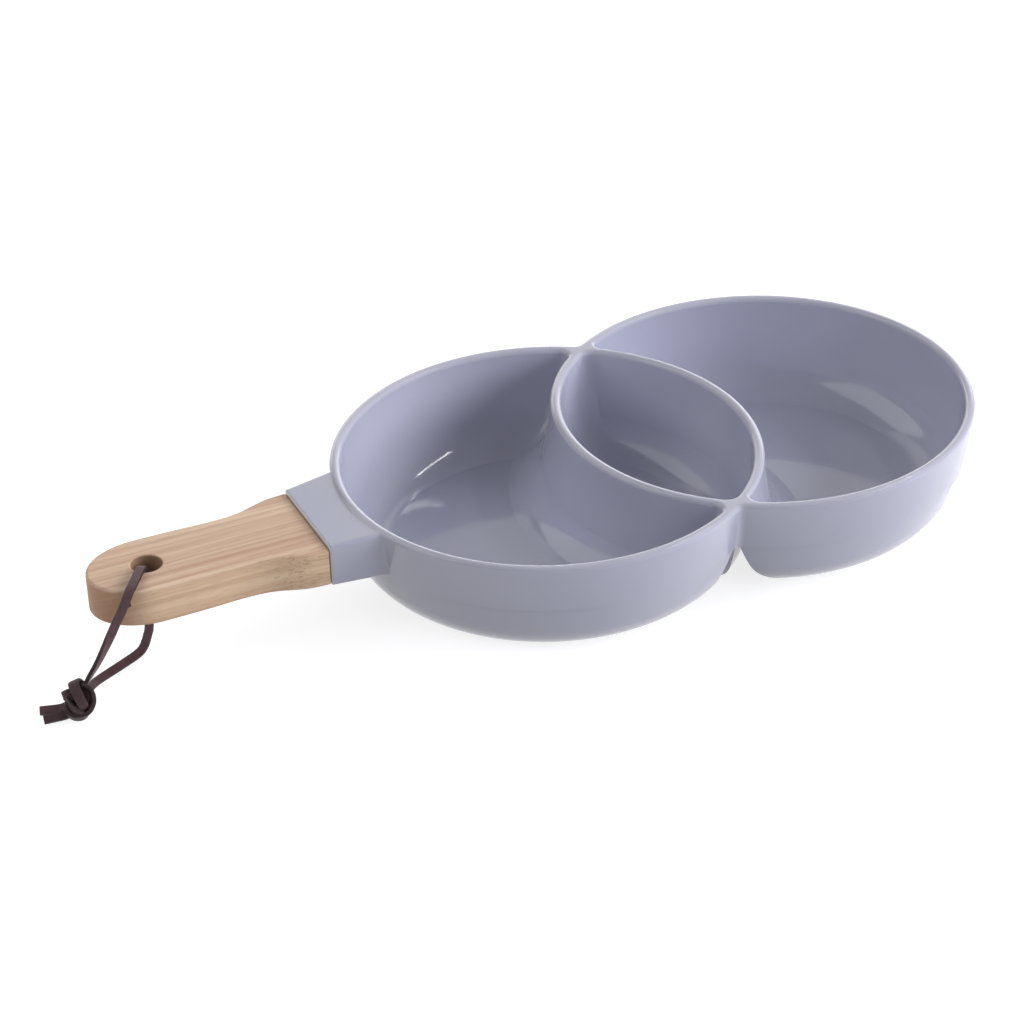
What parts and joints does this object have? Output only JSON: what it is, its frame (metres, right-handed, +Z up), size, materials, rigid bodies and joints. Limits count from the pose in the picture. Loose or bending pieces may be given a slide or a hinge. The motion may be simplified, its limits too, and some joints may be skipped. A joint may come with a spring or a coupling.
{
  "type": "divided serving bowl",
  "caption": "Divided ceramic serving dish of overlapping round bowls, parted into crescents and a lens, with a flat wooden handle and a leather hanging lace.",
  "frame": {"origin": "on the table, under the middle of the dish and handle taken together", "axes": "+X from the handle towards the far bowl, +Z up, +Y across the dish"},
  "size_m": [0.3747, 0.16, 0.0448],
  "materials": {
    "glaze": "glossy lavender-grey glaze",
    "wood": "fine-grained, smooth, with a low sheen",
    "adhesive": "set adhesive, out of sight",
    "leather": "dark brown flat lace, slightly waxy"
  },
  "bodies": {
    "dish": {"dish": "glaze", "handle": "wood", "handle_adhesive": "adhesive"},
    "lace": {"lace_upper_strand": "leather", "lace_lower_strand": "leather", "lace_knot": "leather", "lace_back_tail": "leather", "lace_front_tail": "leather"}
  },
  "joints": [
    {"name": "lace_swing", "type": "hinge", "parent": "dish", "child": "lace", "pos_m": [-0.15185, 0, 0.033], "axis": [0, 0, 1], "range_deg": [-120, 60]}
  ]
}
